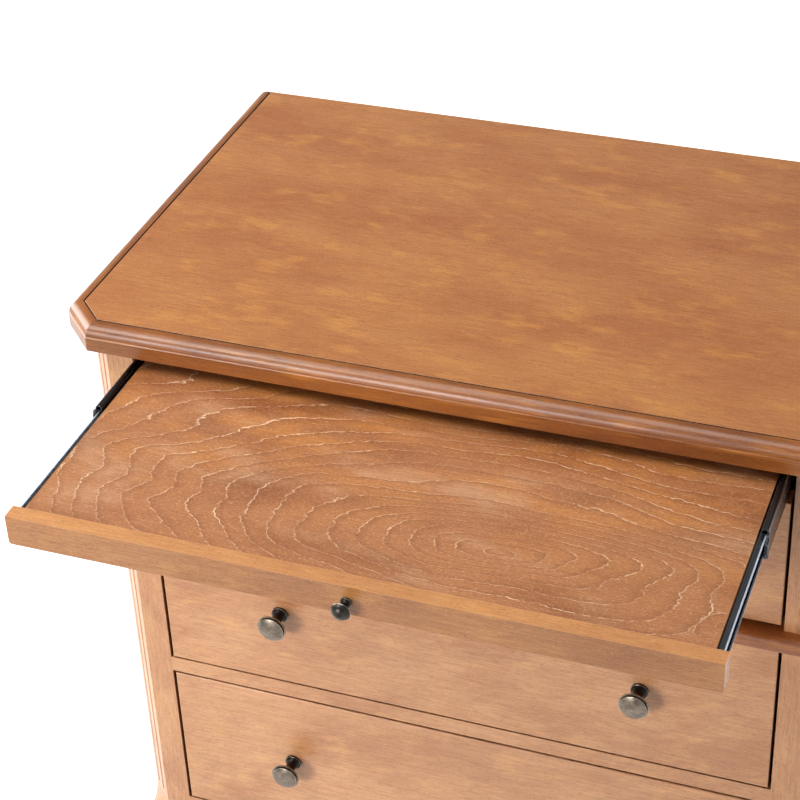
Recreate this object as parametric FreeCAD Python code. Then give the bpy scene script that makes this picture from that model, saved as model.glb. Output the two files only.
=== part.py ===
"""Chest of drawers with a pull-out tray, fluted canted corner posts and curved legs.

Millimetres, +Z up, the front towards -Y. The origin is on the floor, at the centre of
the ground that the chest covers with its tray drawn out.
"""
import FreeCAD, Part
import math
import os

# ---- driving dimensions -------------------------------------------------------------
HEIGHT = 1000.0            # floor to top surface
OPENING = 640.0            # clear width between the front posts
CASE_DEPTH = 485.0         # front faces of the posts to the back edge of the top
TRAY_OUT = 259.0           # how far the tray is drawn out in the rest pose

STILE = 27.5               # width of a post's front face
CANT = 24.5                # canted corner, measured along X and along Y
OVERHANG = 20.5            # top beyond the posts
WAIST_OUT = 15.0           # waist moulding beyond the posts
BACK_SET = 6.0             # rear posts short of the top's back edge
SIDE_T = 16.0              # side panels
SIDE_SET = 3.0             # side panels recessed behind the posts

TOP_T = 27.0
TOP_EDGE = 15.3            # width of the top's solid edge moulding
TRAY_DROP = 40.0           # top surface down to the tray surface
STRIP_H = 30.0
STRIP_T = 16.0
TRAY_T = 18.0
ROW_GAP = 3.0              # above a front, and at its sides
SIT_GAP = 1.5              # below a front
WAIST_T = 14.5
WAIST_GAP = 5.5            # under the first drawer
RAIL_T = 18.5
RAIL_D = 48.0
DRAWER_1_H = 140.0
DRAWER_H = 183.0
FRONT_T = 20.0
BOX_T = 12.0               # drawer sides and backs
BOX_BACK = 445.0           # back of a closed drawer, behind the front plane
APRON_H = 52.0

BIG_KNOB_R = 15.2
BIG_KNOB_OUT = 30.0
BIG_KNOB_CROWN = 3.6
BIG_KNOB_LEDGE = 1.7
BIG_KNOB_X = 187.5
SMALL_KNOB_R = 8.8
SMALL_KNOB_OUT = 19.0
SMALL_KNOB_CROWN = 5.6

SLIDE_T = 12.7             # one slide, across
SLIDE_H = 36.0
SLIDE_L = 400.0
SLIDE_SET = 41.0           # front end of a closed slide, behind the front plane
STEEL = 1.2

LEG_TOP = 362.0            # where the curved leg begins
FLUTE_R = 1.7

# ---- what follows from them ---------------------------------------------------------
HALF = OPENING / 2.0
POST_X = HALF + STILE                  # where the canted face begins
OUTER_X = POST_X + CANT                # outside of the case
POST_D = CANT + STILE                  # depth of a front post
TOP_X = OUTER_X + OVERHANG
FRONT = (TRAY_OUT + SMALL_KNOB_OUT - CASE_DEPTH) / 2.0
BACK = FRONT + CASE_DEPTH
CASE_BACK = BACK - BACK_SET
SIDE_X = OUTER_X - SIDE_SET            # outside of a side panel
INSIDE_X = SIDE_X - SIDE_T
SLIDE_X = HALF - 2.0                   # case side of every slide
BOX_X = SLIDE_X - SLIDE_T              # outside of the tray board and the drawer boxes
CORNER = 2.0 - math.sqrt(2.0)          # growth of a 45 degree corner per unit of overhang

TRAY_Z = HEIGHT - TRAY_DROP
STRIP_Z = TRAY_Z - STRIP_H
D1_Z = STRIP_Z - ROW_GAP - DRAWER_1_H
WAIST_TOP = D1_Z - WAIST_GAP
WAIST_Z = WAIST_TOP - WAIST_T
D2_Z = WAIST_Z - ROW_GAP - DRAWER_H
RAIL_2_Z = D2_Z - SIT_GAP - RAIL_T
D3_Z = RAIL_2_Z - ROW_GAP - DRAWER_H
RAIL_3_Z = D3_Z - SIT_GAP - RAIL_T
D4_Z = RAIL_3_Z - ROW_GAP - DRAWER_H
APRON_TOP = D4_Z - SIT_GAP
APRON_Z = APRON_TOP - APRON_H
DRAWERS = [(1, D1_Z, DRAWER_1_H), (2, D2_Z, DRAWER_H), (3, D3_Z, DRAWER_H), (4, D4_Z, DRAWER_H)]
TRAY_SLIDE_Z = TRAY_Z - 12.0          # middle height of the tray's slides


def vec(x, y, z):
    return FreeCAD.Vector(x, y, z)


def block(x0, x1, y0, y1, z0, z1):
    return Part.makeBox(x1 - x0, y1 - y0, z1 - z0, vec(x0, y0, z0))


def prism(points, direction):
    """A straight-sided solid from the corners of one flat face."""
    return Part.Face(Part.makePolygon(points + points[:1])).extrude(direction)


def mirrored(shape):
    return shape.mirror(vec(0, 0, 0), vec(1, 0, 0))


def save(node, shape):
    shape.exportStep(os.path.join("parts", node + ".step"))


def save_sides(node, shape):
    """Two nodes, NODE_left and NODE_right, drawn as the right one."""
    save(node + "_left", mirrored(shape))
    save(node + "_right", shape)


def both_sides(shapes):
    """One group of separate solids: each shape and its mirror image."""
    return Part.makeCompound(shapes + [mirrored(shape) for shape in shapes])


# ---- top ----------------------------------------------------------------------------
def plan_corners(out):
    """Right half of the top's outline, moved out by so much beyond the posts."""
    cut = CANT + out * CORNER
    x = OUTER_X + out
    y = FRONT - out
    return [(x - cut, y), (x, y + cut), (x, BACK)]


def top_panel():
    corners = plan_corners(OVERHANG - TOP_EDGE)
    outline = [vec(x, y, HEIGHT - TOP_T) for x, y in corners]
    outline += [vec(-x, y, HEIGHT - TOP_T) for x, y in reversed(corners)]
    panel = prism(outline, vec(0, 0, TOP_T))
    groove = 0.9
    rim = [edge for edge in panel.Edges
           if edge.BoundBox.ZMin > HEIGHT - 0.1 and edge.BoundBox.YMin < BACK - 0.1]
    return panel.makeChamfer(groove, rim)


def edge_profile():
    """Section of the top's edge: U runs in from the outside, V up from the underside."""
    fillet_h = 14.6
    step = 0.8
    groove = 0.9
    radius = TOP_T - fillet_h - step
    bow = radius * (1.0 - math.sqrt(0.5))
    quarter = Part.Arc(vec(step, fillet_h + step, 0),
                       vec(step + bow, TOP_T - bow, 0),
                       vec(step + radius, TOP_T, 0))
    corners = [vec(step + radius, TOP_T, 0), vec(TOP_EDGE - groove, TOP_T, 0),
               vec(TOP_EDGE, TOP_T - groove, 0), vec(TOP_EDGE, 0, 0), vec(0.6, 0, 0),
               vec(0, 0.6, 0), vec(0, fillet_h, 0), vec(step, fillet_h + step, 0)]
    lines = Part.makePolygon(corners).Edges
    return Part.Face(Part.Wire([quarter.toShape()] + lines))


def waist_profile():
    """Section of the waist moulding, back to the front plane of the posts."""
    nose = 7.0
    ease = 1.5
    bow = nose * (1.0 - math.sqrt(0.5))
    nib = ease * (1.0 - math.sqrt(0.5))
    top = Part.Arc(vec(0, WAIST_T - nose, 0), vec(bow, WAIST_T - bow, 0), vec(nose, WAIST_T, 0))
    low = Part.Arc(vec(ease, 0, 0), vec(nib, nib, 0), vec(0, ease, 0))
    back = Part.makePolygon([vec(nose, WAIST_T, 0), vec(WAIST_OUT + STILE, WAIST_T, 0),
                             vec(WAIST_OUT + STILE, 0, 0), vec(ease, 0, 0)])
    face = Part.makePolygon([vec(0, ease, 0), vec(0, WAIST_T - nose, 0)])
    return Part.Face(Part.Wire([top.toShape()] + back.Edges + [low.toShape()] + face.Edges))


def moulding(profile, outer, inner, z, height):
    """Profile run along the outer line and mitred to meet the inner line's ends."""
    (ax, ay), (bx, by) = outer
    length = math.hypot(bx - ax, by - ay)
    spare = 60.0
    along = vec((bx - ax) / length, (by - ay) / length, 0)
    inward = vec(-along.y, along.x, 0)
    start = vec(ax, ay, z) - along * spare
    frame = FreeCAD.Matrix(inward.x, 0, along.x, start.x,
                           inward.y, 0, along.y, start.y,
                           0, 1, 0, start.z,
                           0, 0, 0, 1)
    bar = profile.copy()
    bar.transformShape(frame)
    bar = bar.extrude(along * (length + 2.0 * spare))
    outline = [vec(x, y, z - 1.0) for x, y in outer + inner]
    return bar.common(prism(outline, vec(0, 0, height + 2.0)))


def make_top():
    save("top_panel", top_panel())
    outer = plan_corners(OVERHANG)
    inner = plan_corners(OVERHANG - TOP_EDGE)
    z = HEIGHT - TOP_T
    profile = edge_profile()
    across = [(-outer[0][0], outer[0][1]), outer[0]]
    across_in = [inner[0], (-inner[0][0], inner[0][1])]
    save("top_moulding_front", moulding(profile, across, across_in, z, TOP_T))
    save_sides("top_moulding_corner",
               moulding(profile, outer[0:2], [inner[1], inner[0]], z, TOP_T))
    save_sides("top_moulding_side",
               moulding(profile, outer[1:3], [inner[2], inner[1]], z, TOP_T))


# ---- posts and legs -----------------------------------------------------------------
def post_section(z, out=0.0, crown=0.6, inner_x=HALF, back_y=POST_D, cant=CANT):
    """Outline of the right post at height z, its outside moved out by so much."""
    y = FRONT - out
    x = OUTER_X + out
    start = vec(x - cant, y, z)
    end = vec(x, y + cant, z)
    middle = (start + end) * 0.5 + vec(crown, -crown, 0)
    face = Part.Arc(start, middle, end).toShape()
    rest = Part.makePolygon([end, vec(x, FRONT + back_y, z), vec(inner_x, FRONT + back_y, z),
                             vec(inner_x, y, z), start])
    return Part.Wire([face] + rest.Edges)


def flutes(z0, z1):
    """Two round-nosed grooves down the canted face of the right post."""
    cuts = []
    for share in (0.3, 0.7):
        at = vec(POST_X + CANT * share, FRONT + CANT * share, z0)
        at += vec(1, -1, 0) * (FLUTE_R * 0.25)
        cuts.append(Part.makeCylinder(FLUTE_R, z1 - z0, at))
        cuts.append(Part.makeSphere(FLUTE_R, at))
    return cuts


def upper_post():
    post = Part.Face(post_section(WAIST_TOP)).extrude(vec(0, 0, HEIGHT - TOP_T - WAIST_TOP))
    return post.cut(flutes(WAIST_TOP - 10.0, HEIGHT))


def curved_leg():
    """The leg below the post: knee, slender ankle and small toe.

    Each row is height, how far the outside stands out, crown of the corner, cant, and how
    far the two inner faces are inside the straight post's. The loft is cut back to those
    faces where it is wider.
    """
    wide = -8.0
    rows = [
        (LEG_TOP, 0.0, 0.6, CANT, wide),
        (330.0, 5.5, 2.2, CANT, wide),
        (290.0, 14.0, 4.5, CANT, wide),
        (250.0, 17.0, 5.5, CANT, wide),
        (200.0, 14.0, 5.0, 24.0, wide),
        (150.0, 6.5, 4.2, 23.0, wide),
        (105.0, -1.5, 3.4, 21.0, 12.0),
        (60.0, -5.0, 2.6, 17.0, 21.0),
        (28.0, -1.0, 2.6, 16.0, 23.0),
        (8.0, 6.0, 3.0, 17.0, 19.0),
        (0.0, 5.0, 3.0, 17.0, 19.0),
    ]
    wires = [post_section(z, out, crown, HALF + inset, POST_D - inset, cant)
             for z, out, crown, cant, inset in rows]
    stock = block(HALF, TOP_X * 1.2, FRONT - POST_D, FRONT + POST_D, 0, LEG_TOP)
    return Part.makeLoft(wires, True, False).common(stock)


def leg():
    post = Part.Face(post_section(LEG_TOP)).extrude(vec(0, 0, WAIST_Z - LEG_TOP))
    groove_end = LEG_TOP + 8.0
    return post.fuse(curved_leg()).cut(flutes(groove_end, WAIST_Z + 10.0))


def rear_post():
    """Square post at the back corner, its inner face tapered below the case."""
    width = 40.0
    foot = 27.0
    inner = OUTER_X - width
    outline = [vec(inner, CASE_BACK - width, HEIGHT - TOP_T), vec(OUTER_X, CASE_BACK - width, HEIGHT - TOP_T),
               vec(OUTER_X, CASE_BACK - width, 0), vec(OUTER_X - foot, CASE_BACK - width, 0),
               vec(inner, CASE_BACK - width, APRON_Z)]
    return prism(outline, vec(0, width, 0))


def make_posts():
    save_sides("upper_post", upper_post())
    save_sides("leg", leg())
    save_sides("rear_post", rear_post())


# ---- case ---------------------------------------------------------------------------
def apron():
    """Bottom rail with a shaped lower edge."""
    thick = 20.0
    y = FRONT + 2.0
    rise = 26.0
    edge_points = [vec(-HALF, y, APRON_Z), vec(-HALF + 70.0, y, APRON_Z + rise * 0.55),
                   vec(-HALF + 150.0, y, APRON_Z + rise), vec(-60.0, y, APRON_Z + rise * 0.35),
                   vec(0, y, APRON_Z + 2.0), vec(60.0, y, APRON_Z + rise * 0.35),
                   vec(HALF - 150.0, y, APRON_Z + rise), vec(HALF - 70.0, y, APRON_Z + rise * 0.55),
                   vec(HALF, y, APRON_Z)]
    curve = Part.BSplineCurve()
    curve.interpolate(edge_points)
    top = Part.makePolygon([vec(HALF, y, APRON_Z), vec(HALF, y, APRON_TOP),
                            vec(-HALF, y, APRON_TOP), vec(-HALF, y, APRON_Z)])
    return Part.Face(Part.Wire([curve.toShape()] + top.Edges)).extrude(vec(0, thick, 0))


def waist_board():
    """Moulded board between the upper and lower posts, with clipped corners."""
    outer = plan_corners(WAIST_OUT)
    inner = plan_corners(-STILE)
    profile = waist_profile()
    across = [(-outer[0][0], outer[0][1]), outer[0]]
    across_in = [inner[0], (-inner[0][0], inner[0][1])]
    front = moulding(profile, across, across_in, WAIST_Z, WAIST_T)
    corner = moulding(profile, outer[0:2], [inner[1], inner[0]], WAIST_Z, WAIST_T)
    side = moulding(profile, outer[1:3], [inner[2], inner[1]], WAIST_Z, WAIST_T)
    deep = block(-HALF, HALF, FRONT + STILE, FRONT + POST_D, WAIST_Z, WAIST_TOP)
    board = front.fuse([corner, mirrored(corner), side, mirrored(side), deep])
    behind = block(-TOP_X - WAIST_OUT, TOP_X + WAIST_OUT, FRONT + POST_D, BACK, 0, HEIGHT)
    return board.cut(behind).removeSplitter()


def waist_return():
    """Moulding strip along the side panel, in line with the waist board."""
    outer = [(OUTER_X + WAIST_OUT, FRONT + POST_D), (OUTER_X + WAIST_OUT, CASE_BACK)]
    inner = [(SIDE_X, CASE_BACK), (SIDE_X, FRONT + POST_D)]
    strip = moulding(waist_profile(), outer, inner, WAIST_Z, WAIST_T)
    rear = block(SIDE_X, OUTER_X, CASE_BACK - 40.0, CASE_BACK, 0, HEIGHT)
    return strip.cut(rear)


def make_case():
    save_sides("side_panel", block(INSIDE_X, SIDE_X, FRONT + POST_D, CASE_BACK - 40.0,
                                   APRON_Z, HEIGHT - TOP_T))
    save("back_panel", block(-(OUTER_X - 40.0), OUTER_X - 40.0, CASE_BACK - 14.0, CASE_BACK - 6.0,
                             APRON_Z, HEIGHT - TOP_T))
    save("waist_board", waist_board())
    save_sides("waist_return", waist_return())
    for name, z in (("rail_upper", RAIL_2_Z), ("rail_lower", RAIL_3_Z)):
        save(name, block(-HALF, HALF, FRONT, FRONT + RAIL_D, z, z + RAIL_T))
    save("apron", apron())
    save("bottom_panel", block(-SLIDE_X, SLIDE_X, FRONT + 22.0, CASE_BACK - 14.0,
                               APRON_TOP - 12.0, APRON_TOP - 3.0))


# ---- slides -------------------------------------------------------------------------
def channel(u0, u1, half_h, web_at_start, y0, length, z):
    """Pressed channel on the right side. U runs out from the board or box it serves."""
    x0 = BOX_X + u0
    x1 = BOX_X + u1
    outer = block(x0, x1, y0, y0 + length, z - half_h, z + half_h)
    if web_at_start:
        inner = block(x0 + STEEL, x1 + 1.0, y0 - 1.0, y0 + length + 1.0,
                      z - half_h + STEEL, z + half_h - STEEL)
        web_x = x0
    else:
        inner = block(x0 - 1.0, x1 - STEEL, y0 - 1.0, y0 + length + 1.0,
                      z - half_h + STEEL, z + half_h - STEEL)
        web_x = x1
    bends = [edge for edge in outer.Edges
             if edge.Length > length - 1.0 and abs(edge.BoundBox.Center.x - web_x) < 0.1]
    return outer.makeFillet(STEEL * 0.9, bends).cut(inner)


def middle_member(y0, length, z):
    """Travelling member of a tray slide: a web with a rolled ball race above and below."""
    race_r = 3.4
    race_z = 12.6
    race_x = BOX_X + 5.7
    web = block(BOX_X + 7.9, BOX_X + 9.1, y0, y0 + length, z - race_z, z + race_z)
    races = []
    bores = []
    for height in (z - race_z, z + race_z):
        start = vec(race_x, y0, height)
        races.append(Part.makeCylinder(race_r, length, start, vec(0, 1, 0)))
        bores.append(Part.makeCylinder(race_r - STEEL, length, start, vec(0, 1, 0)))
    return web.fuse(races).cut(bores)


def slide_heights():
    heights = [TRAY_SLIDE_Z]
    for number, z, height in DRAWERS:
        heights.append(z + height * 0.5)
    return heights


def make_case_slides():
    """Fixed members of the five pairs of slides, and the cleats they are screwed to."""
    y = FRONT + SLIDE_SET
    fixed = [channel(3.0, SLIDE_T, SLIDE_H / 2.0, False, y, SLIDE_L, z) for z in slide_heights()]
    save("case_slides", both_sides(fixed))
    cleats = [block(SLIDE_X, INSIDE_X, FRONT + POST_D, CASE_BACK - 40.0,
                    z - SLIDE_H / 2.0, z + SLIDE_H / 2.0) for z in slide_heights()]
    save("slide_cleats", both_sides(cleats))


# ---- knobs --------------------------------------------------------------------------
def knob(x, y, z, radius, out, crown, ledge):
    """Turned knob on a face at y, standing out towards -Y: collar, neck, head and crown.

    A ledge steps the head in before its crown, behind a narrow groove.
    """
    collar = radius * 0.58
    neck = radius * 0.34
    dome = radius - ledge
    collar_y = out * 0.09
    neck_y = out * 0.36
    rim_y = out - crown - 2.0 * ledge
    dome_y = out - crown
    dome_r = (dome * dome + crown * crown) / (2.0 * crown)
    half_way = out - dome_r + math.sqrt(dome_r * dome_r - dome * dome / 4.0)
    edges = Part.makePolygon([vec(0, out, 0), vec(0, 0, 0), vec(collar, 0, 0),
                              vec(collar, collar_y, 0)]).Edges
    edges.append(Part.Arc(vec(collar, collar_y, 0), vec(neck * 1.15, out * 0.2, 0),
                          vec(neck, neck_y, 0)).toShape())
    edges.append(Part.Arc(vec(neck, neck_y, 0), vec(radius * 0.5, neck_y + (rim_y - neck_y) * 0.55, 0),
                          vec(radius, rim_y, 0)).toShape())
    if ledge:
        step_y = rim_y + ledge * 0.8
        band_y = step_y + ledge * 0.5
        edges += Part.makePolygon([vec(radius, rim_y, 0), vec(radius, step_y, 0),
                                   vec(dome * 0.9, step_y, 0), vec(dome * 0.9, band_y, 0),
                                   vec(dome, band_y + ledge * 0.2, 0), vec(dome, dome_y, 0)]).Edges
    edges.append(Part.Arc(vec(dome, dome_y, 0), vec(dome / 2.0, half_way, 0),
                          vec(0, out, 0)).toShape())
    solid = Part.Face(Part.Wire(edges)).revolve(vec(0, 0, 0), vec(0, 1, 0), 360)
    solid.rotate(vec(0, 0, 0), vec(1, 0, 0), 180)
    solid.translate(vec(x, y, z))
    return solid


# ---- tray ---------------------------------------------------------------------------
def eased(shape, y, amount):
    """The shape with the edges of its front face at y rounded over."""
    rim = [edge for edge in shape.Edges if edge.BoundBox.YMax < y + 0.1]
    return shape.makeFillet(amount, rim)


def make_tray():
    face = FRONT - TRAY_OUT
    half = HALF - ROW_GAP - 0.5
    strip = block(-half, half, face, face + STRIP_T, STRIP_Z, TRAY_Z)
    ends = [edge for edge in strip.Edges
            if edge.BoundBox.ZMax < STRIP_Z + 0.1 and abs(edge.BoundBox.Center.x) > half - 0.1]
    strip = strip.makeFillet(3.0, ends)
    save("tray_strip", strip)
    save("tray_board", block(-BOX_X, BOX_X, face + STRIP_T, FRONT + BOX_BACK - TRAY_OUT,
                             TRAY_Z - TRAY_T, TRAY_Z - 0.4))
    save("tray_knob", knob(0.0, face, STRIP_Z + STRIP_H * 0.45, SMALL_KNOB_R, SMALL_KNOB_OUT,
                           SMALL_KNOB_CROWN, 0.0))
    inner_y = face + STRIP_T + 2.0
    save_sides("tray_slide_inner",
               channel(0.0, 7.0, 8.6, True, inner_y, SLIDE_L, TRAY_SLIDE_Z))
    middle_y = FRONT + SLIDE_SET - TRAY_OUT / 2.0
    save_sides("tray_slide_middle", middle_member(middle_y, SLIDE_L, TRAY_SLIDE_Z))


# ---- drawers ------------------------------------------------------------------------
def make_drawer(number, z, height):
    name = "drawer_%d_" % number
    half = HALF - ROW_GAP
    back = FRONT + BOX_BACK
    box_z = z + 12.0
    box_top = z + height - 25.0
    inside = BOX_X - BOX_T
    front = block(-half, half, FRONT, FRONT + FRONT_T, z, z + height)
    save(name + "front", eased(front, FRONT, 1.2))
    save_sides(name + "side", block(inside, BOX_X, FRONT + FRONT_T, back, box_z, box_top))
    save(name + "back", block(-inside, inside, back - BOX_T, back, box_z, box_top))
    save(name + "bottom", block(-inside, inside, FRONT + FRONT_T, back - BOX_T,
                                box_z + 4.0, box_z + 10.0))
    middle = z + height * 0.5
    pulls = [knob(x, FRONT, middle, BIG_KNOB_R, BIG_KNOB_OUT, BIG_KNOB_CROWN, BIG_KNOB_LEDGE)
             for x in (-BIG_KNOB_X, BIG_KNOB_X)]
    save(name + "knobs", Part.makeCompound(pulls))
    runner = channel(0.0, 8.6, 14.0, True, FRONT + SLIDE_SET, SLIDE_L, middle)
    save(name + "slides", both_sides([runner]))


os.makedirs("parts", exist_ok=True)
make_top()
make_posts()
make_case()
make_case_slides()
make_tray()
for drawer in DRAWERS:
    make_drawer(*drawer)
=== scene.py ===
"""Looks for the tall chest of drawers: stained woods, black slides, pewter knobs, light and camera."""

import math

import bmesh
import bpy
from mathutils import Matrix, Vector


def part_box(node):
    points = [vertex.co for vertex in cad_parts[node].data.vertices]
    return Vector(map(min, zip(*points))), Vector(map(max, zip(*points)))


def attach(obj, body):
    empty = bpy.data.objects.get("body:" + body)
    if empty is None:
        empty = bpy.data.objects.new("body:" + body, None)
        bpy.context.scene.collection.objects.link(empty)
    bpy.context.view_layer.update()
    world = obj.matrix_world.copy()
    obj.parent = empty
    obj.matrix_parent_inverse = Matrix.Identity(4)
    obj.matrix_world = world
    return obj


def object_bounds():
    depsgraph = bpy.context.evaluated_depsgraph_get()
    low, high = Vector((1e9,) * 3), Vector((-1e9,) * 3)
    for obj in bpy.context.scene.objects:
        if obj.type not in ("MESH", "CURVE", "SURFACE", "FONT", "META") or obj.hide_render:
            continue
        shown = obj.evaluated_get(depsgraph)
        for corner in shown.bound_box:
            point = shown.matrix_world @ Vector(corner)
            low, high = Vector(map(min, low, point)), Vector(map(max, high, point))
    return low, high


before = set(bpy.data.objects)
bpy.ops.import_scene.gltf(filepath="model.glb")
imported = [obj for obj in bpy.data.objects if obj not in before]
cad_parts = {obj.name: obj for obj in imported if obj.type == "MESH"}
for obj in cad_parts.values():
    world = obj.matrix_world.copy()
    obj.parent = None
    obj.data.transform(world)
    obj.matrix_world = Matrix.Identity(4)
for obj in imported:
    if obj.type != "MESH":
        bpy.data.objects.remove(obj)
cad_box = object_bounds()

# ---- driving values: metres and degrees, in the frame of the model -------------------
MM = 0.001
EYE = Vector((0.5467, -1.6070, 2.0803))
LOOK_YAW = -21.53           # from +Y towards +X
LOOK_PITCH = 34.61          # below the horizon
LOOK_ROLL = 2.65
LENS = 96.33
SENSOR = 36.0

FLOOR_SIZE = 30.0
FLOOR_LIFT = 0.75
FLOOR_NEAR = 1.5
FLOOR_FAR = 7.0
FLOOR_FAR_LIFT = 0.98
SIDES = ("left", "right")
DRAWERS = range(1, 5)
SEED_SHIFT = (3.1, 1.7, 2.3)    # where a seed of 1 moves the figure
COAT_ROUGHNESS = 0.20
EASED_EDGE = 0.9 * MM       # how far wear reaches from an edge
PAINTED_SHADE_REACH = 9.0 * MM        # how near another face is for painted shade to gather
TRAY_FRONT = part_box("tray_board")[0]
TRAY_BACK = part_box("tray_board")[1]
FRONT_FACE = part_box("drawer_2_front")[0].y
STRIP_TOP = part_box("tray_strip")[1].z
TOP_Z = cad_box[1].z


def linear(red, green, blue):
    """A colour given as 0-255 display values, as the shader wants it."""
    def channel(value):
        share = value / 255.0
        if share <= 0.04045:
            return share / 12.92
        return ((share + 0.055) / 1.055) ** 2.4
    return (channel(red), channel(green), channel(blue), 1.0)


# ---- node building --------------------------------------------------------------------
class Shader:
    """One node material. Lengths are metres, measured from the piece's place in the model."""

    def __init__(self, name, grain="X", seed=0.0):
        self.material = bpy.data.materials.new(name)
        self.material.use_nodes = True
        self.tree = self.material.node_tree
        self.surface = self.tree.nodes["Principled BSDF"]
        self.place = self.along_grain(grain, seed)

    def node(self, kind, **settings):
        made = self.tree.nodes.new(kind)
        for key, value in settings.items():
            setattr(made, key, value)
        return made

    def feed(self, socket, value):
        if isinstance(value, bpy.types.NodeSocket):
            self.tree.links.new(value, socket)
        else:
            socket.default_value = value

    def along_grain(self, grain, seed):
        """The place of a point, turned so that X runs along the grain, and shifted by the seed."""
        where = self.node("ShaderNodeTexCoord").outputs["Object"]
        axes = self.node("ShaderNodeSeparateXYZ")
        self.feed(axes.inputs[0], where)
        self.axes = axes.outputs
        if grain == "D":       # the two canted corners, along their own face
            turned = self.node("ShaderNodeMapping")
            turned.inputs["Rotation"].default_value = (0.0, 0.0, math.radians(45.0))
            self.feed(turned.inputs["Vector"], where)
            where = turned.outputs[0]
            order = "XYZ"
        else:
            order = {"X": "XYZ", "Y": "YXZ", "Z": "ZXY"}[grain]
        split = self.node("ShaderNodeSeparateXYZ")
        self.feed(split.inputs[0], where)
        joined = self.node("ShaderNodeCombineXYZ")
        for socket, axis in zip(joined.inputs, order):
            self.feed(socket, split.outputs[axis])
        shifted = self.node("ShaderNodeVectorMath", operation="ADD")
        self.feed(shifted.inputs[0], joined.outputs[0])
        shifted.inputs[1].default_value = [seed * share for share in SEED_SHIFT]
        return shifted.outputs[0]

    def math(self, operation, first, second=0.0):
        made = self.node("ShaderNodeMath", operation=operation)
        self.feed(made.inputs[0], first)
        self.feed(made.inputs[1], second)
        return made.outputs[0]

    def rise(self, value, start, end, low=0.0, high=1.0):
        """A smooth step from low, where value is start, to high, where it is end."""
        made = self.node("ShaderNodeMapRange", interpolation_type="SMOOTHSTEP")
        for name, given in zip(("Value", "From Min", "From Max", "To Min", "To Max"),
                               (value, start, end, low, high)):
            self.feed(made.inputs[name], given)
        return made.outputs["Result"]

    def mix(self, share, first, second, blend="MIX"):
        made = self.node("ShaderNodeMix", data_type="RGBA", blend_type=blend)
        self.feed(made.inputs[0], share)
        self.feed(made.inputs[6], first)
        self.feed(made.inputs[7], second)
        return made.outputs[2]

    def noise(self, along, across, detail=3.0, slant=0.0, rough=0.5):
        """Noise whose marks are about this long and wide."""
        size = self.node("ShaderNodeMapping")
        self.feed(size.inputs["Vector"], self.slanted(slant))
        size.inputs["Scale"].default_value = (1.0 / along, 1.0 / across, 1.0 / across)
        made = self.node("ShaderNodeTexNoise")
        self.feed(made.inputs["Vector"], size.outputs[0])
        made.inputs["Scale"].default_value = 1.0
        made.inputs["Detail"].default_value = detail
        made.inputs["Roughness"].default_value = rough
        return made.outputs["Fac"]

    def slanted(self, slant):
        """The place of a point, turned by this many degrees off the grain."""
        if not slant:
            return self.place
        turned = self.node("ShaderNodeMapping")
        angle = math.radians(slant)
        turned.inputs["Rotation"].default_value = (0.0, angle, angle)
        self.feed(turned.inputs["Vector"], self.place)
        return turned.outputs[0]

    def edges(self):
        """1 at the edges of a piece and 0 away from them."""
        eased = self.node("ShaderNodeBevel", samples=4)
        eased.inputs["Radius"].default_value = EASED_EDGE
        flat = self.node("ShaderNodeNewGeometry").outputs["True Normal"]
        match = self.node("ShaderNodeVectorMath", operation="DOT_PRODUCT")
        self.feed(match.inputs[0], eased.outputs[0])
        self.feed(match.inputs[1], flat)
        return self.rise(match.outputs["Value"], 0.99, 0.88)

    def painted_gap_shade(self, reach):
        """Where painted shade goes: 1 deep in a narrow gap and 0 in the open."""
        open_sky = self.node("ShaderNodeAmbientOcclusion", samples=6)
        open_sky.inputs["Distance"].default_value = reach
        return self.rise(open_sky.outputs["AO"], 0.42, 0.10, 0.0, 0.92)

    def finish(self, colour, roughness, height, depth, coat=0.0):
        """Colour, gloss and bump go to the surface."""
        self.feed(self.surface.inputs["Base Color"], colour)
        self.feed(self.surface.inputs["Roughness"], roughness)
        bump = self.node("ShaderNodeBump")
        bump.inputs["Distance"].default_value = depth
        bump.inputs["Strength"].default_value = 1.0
        self.feed(bump.inputs["Height"], height)
        self.feed(self.surface.inputs["Normal"], bump.outputs[0])
        self.feed(self.surface.inputs["Coat Weight"], coat)
        self.surface.inputs["Coat Roughness"].default_value = COAT_ROUGHNESS
        return self.material


# ---- woods ----------------------------------------------------------------------------
STAIN = {
    "top": dict(dark=linear(174, 106, 52), mid=linear(190, 126, 68), gold=linear(214, 150, 70),
                gold_share=0.50, patch=(46 * MM, 24 * MM), slant=3.0, wear=0.0,
                fleck=1.0),
    "moulding": dict(dark=linear(122, 64, 10), mid=linear(156, 90, 20), gold=linear(196, 126, 40),
                     gold_share=0.60, patch=(90 * MM, 6 * MM), slant=1.0, wear=0.04,
                     fleck=0.45),
    "waist": dict(dark=linear(152, 86, 34), mid=linear(184, 112, 50), gold=linear(206, 134, 62),
                  gold_share=0.50, patch=(90 * MM, 8 * MM), slant=1.0, wear=0.10,
                  fleck=1.0),
    "strip": dict(dark=linear(170, 110, 62), mid=linear(194, 134, 80), gold=linear(212, 150, 82),
                  gold_share=0.45, patch=(70 * MM, 16 * MM), slant=8.0, wear=0.35,
                  fleck=1.0),
    "case": dict(dark=linear(202, 142, 96), mid=linear(224, 167, 118), gold=linear(234, 176, 116),
                 gold_share=0.55, patch=(52 * MM, 18 * MM), slant=16.0, wear=0.20,
                 fleck=1.0),
    "inner": dict(dark=linear(196, 160, 118), mid=linear(220, 190, 150), gold=linear(232, 206, 170),
                  gold_share=0.40, patch=(120 * MM, 16 * MM), slant=2.0, wear=0.15,
                  fleck=1.0),
}
# painted shade for narrow joins and grooves
PAINTED_GAP_SHADE = linear(26, 11, 5)
WORN_EDGE = linear(232, 178, 128)
LACQUER = 0.35
STREAK_DEPTH = 0.04 * MM
GROOVE_DEPTH = 3.0 * MM
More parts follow.
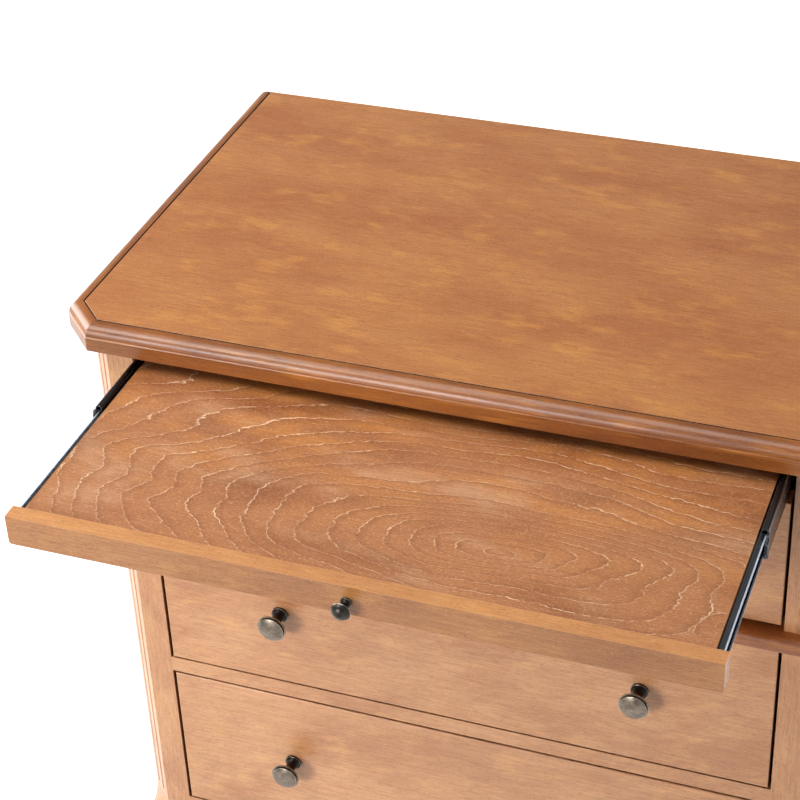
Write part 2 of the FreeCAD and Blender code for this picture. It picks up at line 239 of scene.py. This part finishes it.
GROOVE_START = 1.1 * MM     # from a moulding's inner face to where its painted shade begins
GROOVE_FULL = 0.7 * MM      # and to where it is full


def lacquered(shader, colour, wear, fleck=1.0, reach=PAINTED_SHADE_REACH, groove_shade_and_bare=None):
    """Adds fine streaks, short flecks, painted shade in narrow joins and worn edges to a stained wood, and
    its lacquer.

    The lacquer is missing where the groove mask is 1.
    """
    streaks = shader.noise(26 * MM, 1.1 * MM, detail=3.0, rough=0.6)
    colour = shader.mix(shader.rise(streaks, 0.60, 0.40, 0.0, 0.28), colour,
                        linear(186, 122, 82), "MULTIPLY")
    flecks = shader.noise(4.2 * MM, 1.1 * MM, detail=2.0, slant=4.0)
    colour = shader.mix(shader.rise(flecks, 0.56, 0.70, 0.0, 0.28 * fleck), colour,
                        linear(104, 56, 26))
    specks = shader.noise(2.6 * MM, 1.1 * MM, detail=1.0, slant=-5.0)
    colour = shader.mix(shader.rise(specks, 0.56, 0.72, 0.0, 0.12 * fleck), colour,
                        linear(246, 204, 158))
    colour = shader.mix(shader.math("MULTIPLY", shader.edges(), wear), colour, WORN_EDGE)
    # painted shade: darker where another face is near
    colour = shader.mix(shader.painted_gap_shade(reach), colour, PAINTED_GAP_SHADE)
    roughness = shader.rise(shader.noise(50 * MM, 20 * MM), 0.3, 0.7, 0.34, 0.46)
    if groove_shade_and_bare is None:
        return shader.finish(colour, roughness, streaks, STREAK_DEPTH, coat=LACQUER)
    dull = shader.math("MAXIMUM", roughness, groove_shade_and_bare)
    coat = shader.rise(groove_shade_and_bare, 0.0, 1.0, LACQUER, 0.0)
    return shader.finish(colour, dull, streaks, STREAK_DEPTH, coat=coat)


def stained_wood(name, stain, grain, seed, groove=None):
    """Plain stained wood: a soft figure with golden patches.

    A groove is the axis it lies across, and the places where its painted shade begins and is full; there
    the lacquer is left off.
    """
    tones = STAIN[stain]
    shader = Shader(name, grain, seed)
    figure = shader.noise(170 * MM, 70 * MM, detail=5.0, slant=tones["slant"], rough=0.6)
    colour = shader.mix(shader.rise(figure, 0.32, 0.66), tones["dark"], tones["mid"])
    patches = shader.noise(*tones["patch"], detail=2.0, slant=tones["slant"], rough=0.6)
    share = shader.rise(patches, 0.50, 0.74, 0.0, tones["gold_share"])
    colour = shader.mix(share, colour, tones["gold"])
    veins = shader.noise(140 * MM, 9 * MM, detail=3.0, slant=tones["slant"] * 0.6, rough=0.65)
    thin = shader.math("ABSOLUTE", shader.math("SUBTRACT", veins, 0.5))
    colour = shader.mix(shader.rise(thin, 0.014, 0.0, 0.0, 0.34), colour, tones["dark"], "MULTIPLY")
    if stain == "strip":           # a light line along its top edge
        colour = shader.mix(shader.rise(shader.axes["Z"], STRIP_TOP - 0.7 * MM, STRIP_TOP - 0.2 * MM,
                                        0.0, 0.4), colour, linear(236, 172, 108))
    groove_shade_and_bare = None
    if groove:
        axis, start, end = groove
        groove_shade_and_bare = shader.rise(shader.axes[axis], start, end)
        if stain == "top":         # the back edge and the underside are plain
            groove_shade_and_bare = shader.math("MULTIPLY", groove_shade_and_bare, shader.rise(
                shader.axes["Y"], cad_box[1].y - 1.0 * MM, cad_box[1].y - 2.0 * MM))
            groove_shade_and_bare = shader.math("MULTIPLY", groove_shade_and_bare, shader.rise(
                shader.axes["Z"], TOP_Z - GROOVE_DEPTH - 1.0 * MM, TOP_Z - GROOVE_DEPTH))
        # painted shade in the groove
        colour = shader.mix(groove_shade_and_bare, colour, PAINTED_GAP_SHADE)
    return lacquered(shader, colour, tones["wear"], tones["fleck"], groove_shade_and_bare=groove_shade_and_bare)


ARCH_POWER = 3.4            # 2 draws round arches, and more squares them off
FIGURE_KNEE = 130 * MM      # the rings lie further apart behind this much of the tray
FIGURE_SPREAD = 0.45        # share of the depth behind the knee that isn't counted, to spread them


def squared_off(shader, value):
    return shader.math("POWER", shader.math("ABSOLUTE", value), ARCH_POWER)


def ring_field(shader):
    """Counts the growth rings cut by the tray board, from the heart of each nest of arches."""
    span = TRAY_BACK - TRAY_FRONT
    zigzag = shader.noise(320 * MM, 52 * MM, detail=1.0)
    drift = shader.noise(240 * MM, 90 * MM, detail=1.0)
    across = shader.math("ADD", shader.axes["X"], shader.rise(zigzag, 0.2, 0.8, -15 * MM, 15 * MM))
    back = shader.math("ADD", shader.axes["Y"], shader.rise(drift, 0.2, 0.8, -8 * MM, 8 * MM))
    behind = shader.math("MAXIMUM", shader.math("SUBTRACT", back, TRAY_FRONT.y + FIGURE_KNEE), 0.0)
    back = shader.math("SUBTRACT", back, shader.math("MULTIPLY", behind, FIGURE_SPREAD))
    # share of the width and of the board's depth, ring spacing along and across, rings already passed
    hearts = ((0.69, 0.14, 26 * MM, 8.4 * MM, 0.0), (0.99, 0.07, 14 * MM, 8 * MM, 5.2),
              (0.00, 0.60, 22 * MM, 14 * MM, 22.0), (0.01, 0.24, 20 * MM, 11 * MM, 15.5))
    rings = None
    for width_share, depth_share, long_step, wide_step, passed in hearts:
        along = shader.math("DIVIDE", shader.math(
            "SUBTRACT", across, TRAY_FRONT.x + width_share * span.x), long_step)
        up = shader.math("DIVIDE", shader.math(
            "SUBTRACT", back, TRAY_FRONT.y + depth_share * span.y), wide_step)
        count = shader.math("ADD", passed, shader.math("POWER", shader.math(
            "ADD", squared_off(shader, along), squared_off(shader, up)), 1.0 / ARCH_POWER))
        rings = count if rings is None else shader.math("MINIMUM", rings, count)
    return rings


def tray_wood(name):
    """Figured wood with nested arches drawn in thin cream lines."""
    shader = Shader(name, "X", 0.37)
    uneven = shader.noise(130 * MM, 60 * MM, detail=0.0)
    jitter = shader.noise(14 * MM, 7 * MM, detail=2.0)
    rings = shader.math("ADD", ring_field(shader), shader.rise(uneven, 0.2, 0.8, -0.6, 0.6))
    rings = shader.math("ADD", rings, shader.rise(jitter, 0.2, 0.8, -0.09, 0.09))
    step = shader.math("FRACT", rings)
    figure = shader.noise(160 * MM, 60 * MM, detail=4.0)
    colour = shader.mix(shader.rise(figure, 0.32, 0.66), linear(152, 90, 46), linear(184, 123, 76))
    rear = TRAY_FRONT.y + 0.45 * (TRAY_BACK.y - TRAY_FRONT.y)
    amber = shader.math("MULTIPLY", shader.rise(shader.axes["Y"], TRAY_FRONT.y, rear, 0.0, 0.75),
                        shader.rise(shader.noise(90 * MM, 40 * MM, detail=3.0), 0.40, 0.64))
    colour = shader.mix(amber, colour, linear(204, 134, 66))
    haze = shader.noise(110 * MM, 42 * MM, detail=3.0, slant=6.0)
    colour = shader.mix(shader.rise(haze, 0.52, 0.74, 0.0, 0.45), colour, linear(216, 174, 138))
    late = shader.rise(step, 0.60, 1.0, 0.0, 0.52)
    colour = shader.mix(late, colour, linear(150, 88, 46))
    broken = shader.rise(shader.noise(6 * MM, 3 * MM, detail=3.0), 0.36, 0.54)
    bold = shader.rise(shader.noise(110 * MM, 45 * MM, detail=1.0), 0.34, 0.66, 0.3, 1.0)
    line = shader.math("MULTIPLY", shader.rise(step, 0.075, 0.018),
                       shader.math("MULTIPLY", broken, bold))
    colour = shader.mix(shader.math("MULTIPLY", line, 0.82), colour, linear(250, 224, 190))
    pores = shader.noise(3.4 * MM, 0.75 * MM, detail=2.0)
    colour = shader.mix(shader.rise(pores, 0.56, 0.72, 0.0, 0.42), colour, linear(240, 206, 168))
    # the long reach paints a shadow band on the tray under the top moulding
    return lacquered(shader, colour, wear=0.2, reach=24.0 * MM)


# ---- metals ---------------------------------------------------------------------------
def black_steel(name, lip=None, metallic=0.7):
    """Slides: black electro-coat, rubbed grey along the edges and partly a painted highlight there, and a
    painted bright reflection further out than the lip.
    """
    shader = Shader(name, "Y")
    mottle = shader.noise(12 * MM, 5 * MM, detail=4.0)
    drawn = shader.noise(80 * MM, 1.4 * MM, detail=2.0)
    colour = shader.mix(shader.rise(drawn, 0.4, 0.66), linear(16, 16, 18), linear(52, 54, 60))
    # rubbed grey edges, partly a painted highlight
    colour = shader.mix(shader.math("MULTIPLY", shader.edges(), 0.6), colour, linear(150, 156, 168))
    # painted reflection: a bright bluish-white band on the outer lip
    if lip:
        outward = shader.math("ABSOLUTE", shader.axes["X"])
        colour = shader.mix(shader.rise(outward, lip - 0.2 * MM, lip + 0.1 * MM), colour,
                            linear(206, 218, 236))
    roughness = shader.rise(mottle, 0.3, 0.7, 0.20, 0.34)
    shader.surface.inputs["Metallic"].default_value = metallic
    return shader.finish(colour, roughness, drawn, 0.03 * MM, coat=0.5)


def pewter(name, face, reach, low, high):
    """Knobs: antique pewter, dark in the neck and rubbed brown-grey on the head."""
    shader = Shader(name, "X", 0.6)
    head = shader.rise(shader.axes["Y"], face - 0.42 * reach, face - 0.66 * reach)
    mottle = shader.noise(6 * MM, 5 * MM, detail=5.0, rough=0.6)
    rubbed = shader.mix(shader.rise(mottle, 0.35, 0.68), low, high)
    colour = shader.mix(head, linear(40, 35, 32), rubbed)
    # light rims: rubbed pewter, partly a painted highlight
    colour = shader.mix(shader.math("MULTIPLY", shader.edges(), 0.8), colour, linear(216, 208, 194))
    roughness = shader.rise(mottle, 0.3, 0.7, 0.26, 0.40)
    shader.surface.inputs["Metallic"].default_value = 0.85
    return shader.finish(colour, roughness, mottle, 0.03 * MM)


# ---- materials onto the model's own pieces ---------------------------------------------
def paint(node, material):
    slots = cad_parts[node].data.materials
    slots.clear()
    slots.append(material)


WOODS = {
    "top_panel": ("top", "X"), "top_moulding_front": ("moulding", "X"),
    "waist_board": ("waist", "X"), "rail_upper": ("case", "X"), "rail_lower": ("case", "X"),
    "apron": ("case", "X"), "tray_strip": ("strip", "X"),
    "back_panel": ("inner", "Z"), "bottom_panel": ("inner", "X"), "slide_cleats": ("inner", "Y"),
}
PAIRED_WOODS = {
    "top_moulding_corner": ("moulding", "D"), "top_moulding_side": ("moulding", "Y"),
    "waist_return": ("waist", "Y"), "upper_post": ("case", "Z"), "leg": ("case", "Z"),
    "rear_post": ("case", "Z"), "side_panel": ("case", "Z"),
}
for part, wood in PAIRED_WOODS.items():
    for side in SIDES:
        WOODS[part + "_" + side] = wood
for number in DRAWERS:
    drawer = "drawer_%d_" % number
    WOODS[drawer + "front"] = ("case", "X")
    WOODS[drawer + "back"] = ("inner", "X")
    WOODS[drawer + "bottom"] = ("inner", "X")
    for side in SIDES:
        WOODS[drawer + "side_" + side] = ("inner", "Y")

GROOVES = {
    "top_panel": ("Z", TOP_Z - 0.05 * MM, TOP_Z - 0.25 * MM),
    "top_moulding_front": ("Y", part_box("top_moulding_front")[1].y - GROOVE_START,
                           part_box("top_moulding_front")[1].y - GROOVE_FULL),
    "top_moulding_side_left": ("X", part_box("top_moulding_side_left")[1].x - GROOVE_START,
                               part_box("top_moulding_side_left")[1].x - GROOVE_FULL),
    "top_moulding_side_right": ("X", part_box("top_moulding_side_right")[0].x + GROOVE_START,
                                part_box("top_moulding_side_right")[0].x + GROOVE_FULL),
}
for index, (node, (stain, grain)) in enumerate(sorted(WOODS.items())):
    paint(node, stained_wood("wood_" + node, stain, grain, 0.41 * index, GROOVES.get(node)))
paint("tray_board", tray_wood("wood_tray_board"))

steel = black_steel("steel_black")
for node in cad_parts:
    if "slide" in node and node != "slide_cleats":
        paint(node, steel)
LIP_WIDTH = 1.2 * MM
lip_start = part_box("tray_slide_inner_right")[1].x - LIP_WIDTH
# the inner members' outer lip carries a painted reflection
rubbed_steel_with_glint = black_steel("steel_rubbed_glint", lip=lip_start, metallic=0.2)
for side in SIDES:
    paint("tray_slide_inner_" + side, rubbed_steel_with_glint)

KNOB_REACH = FRONT_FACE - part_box("drawer_2_knobs")[0].y
drawer_pewter = pewter("pewter_drawers", FRONT_FACE, KNOB_REACH, linear(104, 93, 82), linear(134, 122, 108))
for number in DRAWERS:
    paint("drawer_%d_knobs" % number, drawer_pewter)
strip_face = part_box("tray_strip")[0].y
paint("tray_knob", pewter("pewter_tray", strip_face, strip_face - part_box("tray_knob")[0].y,
                          linear(44, 40, 37), linear(72, 66, 60)))


# ---- slide clips ------------------------------------------------------------------------
CLIP_EASE = 0.4 * MM


def rounded_bar(name, low, high, ease, material):
    """A small moulded block with eased edges between two corners."""
    shape = bmesh.new()
    bmesh.ops.create_cube(shape, size=1.0)
    size = high - low
    for vertex in shape.verts:
        vertex.co = Vector(low[k] + (vertex.co[k] + 0.5) * size[k] for k in range(3))
    bmesh.ops.bevel(shape, geom=list(shape.edges), offset=ease, segments=3, affect="EDGES", profile=0.6)
    mesh = bpy.data.meshes.new(name)
    shape.to_mesh(mesh)
    shape.free()
    mesh.materials.append(material)
    made = bpy.data.objects.new(name, mesh)
    bpy.context.scene.collection.objects.link(made)
    return made


def grey_nylon(name):
    """Moulded cage ends of the slides: dark nylon with a fine grain."""
    shader = Shader(name, "Y", 0.9)
    grain = shader.noise(1.6 * MM, 1.2 * MM, detail=3.0)
    colour = shader.mix(shader.rise(grain, 0.35, 0.65), linear(34, 37, 44), linear(60, 65, 74))
    # painted highlight along the edges
    colour = shader.mix(shader.math("MULTIPLY", shader.edges(), 0.5), colour, linear(176, 184, 198))
    roughness = shader.rise(grain, 0.3, 0.7, 0.38, 0.52)
    return shader.finish(colour, roughness, grain, 0.05 * MM)


def make_clips():
    """A cage end at the front of each middle member: a plate, a lever and two lugs.

    Left and right are the same moulding, so the left one lies upside down.
    """
    nylon = grey_nylon("nylon_grey")
    for side, sign in zip(SIDES, (-1.0, 1.0)):
        low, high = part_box("tray_slide_middle_" + side)
        outer = high.x if sign > 0 else low.x
        front = low.y
        centre = (low.z + high.z) / 2.0
        bars = {            # reach inward and outward of the outer face, front and back, height span
            "plate": (-1.5, -0.2, -7.0, 2.0, -10.0, 10.0),
            "lever": (-1.4, 1.6, -11.0, -5.0, -3.0, 8.0),
            "lug_upper": (-1.3, 1.0, -4.0, -0.4, 7.0, 12.0),
            "lug_lower": (-1.3, 1.0, -4.0, -0.4, -12.0, -7.0),
        }
        for part, (inward, outward, fore, aft, under, over) in bars.items():
            across = sorted((outer + sign * inward * MM, outer + sign * outward * MM))
            heights = sorted((centre + sign * under * MM, centre + sign * over * MM))
            bar = rounded_bar("slide_%s_%s" % (part, side),
                              Vector((across[0], front + fore * MM, heights[0])),
                              Vector((across[1], front + aft * MM, heights[1])), CLIP_EASE, nylon)
            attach(bar, "tray_slide_middles")


make_clips()


# ---- studio -----------------------------------------------------------------------------
def make_floor():
    """A white floor, bright enough that contact shadows are only faint on it."""
    half = FLOOR_SIZE / 2.0
    mesh = bpy.data.meshes.new("floor")
    corners = [(-half, -half, 0.0), (half, -half, 0.0), (half, half, 0.0), (-half, half, 0.0)]
    mesh.from_pydata(corners, [], [(0, 1, 2, 3)])
    floor = bpy.data.objects.new("floor", mesh)
    bpy.context.scene.collection.objects.link(floor)
    material = bpy.data.materials.new("floor_white")
    material.use_nodes = True
    tree = material.node_tree
    surface = tree.nodes["Principled BSDF"]
    surface.inputs["Base Color"].default_value = (0.66, 0.66, 0.66, 1.0)
    surface.inputs["Roughness"].default_value = 0.8
    surface.inputs["Emission Color"].default_value = (1.0, 1.0, 1.0, 1.0)
    ray = tree.nodes.new("ShaderNodeLightPath")     # seen and mirrored as white, but lights nothing
    seen = tree.nodes.new("ShaderNodeMath")
    seen.operation = "MAXIMUM"
    tree.links.new(ray.outputs["Is Camera Ray"], seen.inputs[0])
    tree.links.new(ray.outputs["Is Glossy Ray"], seen.inputs[1])
    lift = tree.nodes.new("ShaderNodeMath")
    lift.operation = "MULTIPLY"
    tree.links.new(seen.outputs[0], lift.inputs[0])
    far = tree.nodes.new("ShaderNodeMapRange")      # fades into the white studio far away
    for name, value in (("From Min", FLOOR_NEAR), ("From Max", FLOOR_FAR),
                        ("To Min", FLOOR_LIFT), ("To Max", FLOOR_FAR_LIFT)):
        far.inputs[name].default_value = value
    distance = tree.nodes.new("ShaderNodeVectorMath")
    distance.operation = "LENGTH"
    tree.links.new(tree.nodes.new("ShaderNodeTexCoord").outputs["Object"], distance.inputs[0])
    tree.links.new(distance.outputs["Value"], far.inputs["Value"])
    tree.links.new(far.outputs[0], lift.inputs[1])
    tree.links.new(lift.outputs[0], surface.inputs["Emission Strength"])
    mesh.materials.append(material)


def area_light(name, place, target, width, height, power, colour=(1.0, 1.0, 1.0), spread=180.0,
               mirrored=True):
    """A soft light of this size that faces its target. Gloss shows it only where mirrored is true."""
    light = bpy.data.lights.new(name, "AREA")
    light.shape = "RECTANGLE"
    light.size = width
    light.size_y = height
    light.energy = power
    light.color = colour
    light.spread = math.radians(spread)
    lamp = bpy.data.objects.new(name, light)
    lamp.location = place
    lamp.visible_glossy = mirrored
    lamp.rotation_euler = (Vector(target) - Vector(place)).to_track_quat("-Z", "Y").to_euler()
    bpy.context.scene.collection.objects.link(lamp)


def make_world(ambient, mirrored):
    """A white studio: seen as white, and dimmer as light and in reflections."""
    world = bpy.data.worlds.new("studio")
    bpy.context.scene.world = world
    world.use_nodes = True
    tree = world.node_tree
    ray = tree.nodes.new("ShaderNodeLightPath")
    strength = ambient
    for kind, value in (("Is Glossy Ray", mirrored), ("Is Camera Ray", 1.0)):
        choice = tree.nodes.new("ShaderNodeMix")
        tree.links.new(ray.outputs[kind], choice.inputs[0])
        if isinstance(strength, bpy.types.NodeSocket):
            tree.links.new(strength, choice.inputs[2])
        else:
            choice.inputs[2].default_value = strength
        choice.inputs[3].default_value = value
        strength = choice.outputs[0]
    backdrop = tree.nodes["Background"]
    backdrop.inputs["Color"].default_value = (1.0, 1.0, 1.0, 1.0)
    tree.links.new(strength, backdrop.inputs["Strength"])


def make_camera():
    lens = bpy.data.cameras.new("camera")
    lens.sensor_width = SENSOR
    lens.lens = LENS
    camera = bpy.data.objects.new("camera", lens)
    camera.matrix_world = (Matrix.Translation(EYE)
                           @ Matrix.Rotation(math.radians(-LOOK_YAW), 4, "Z")
                           @ Matrix.Rotation(math.radians(90.0 - LOOK_PITCH), 4, "X")
                           @ Matrix.Rotation(math.radians(-LOOK_ROLL), 4, "Z"))
    bpy.context.scene.collection.objects.link(camera)
    bpy.context.scene.camera = camera


make_floor()
make_world(ambient=0.09, mirrored=0.45)
middle = (0.0, 0.0, 0.8)
area_light("key_left", (-1.5, -1.35, 3.3), middle, 1.2, 1.0, 43.0, (1.0, 0.98, 0.95))
area_light("overhead", (-0.4, -0.4, 3.5), middle, 1.8, 1.2, 28.0)
area_light("side_left", (-2.4, 0.2, 1.6), middle, 1.0, 1.5, 44.0)
area_light("side_right", (2.9, 0.3, 1.3), (0.0, 0.2, 0.5), 1.4, 1.6, 34.0, mirrored=False)
area_light("behind", (0.3, 3.4, 1.1), (0.0, 0.3, 0.4), 2.0, 1.2, 60.0, mirrored=False)
area_light("fill_low", (-1.2, -3.1, 1.6), (-0.15, -0.1, 0.6), 1.4, 1.2, 5.6, spread=44.0)
make_camera()
bpy.context.scene.view_settings.view_transform = "Standard"
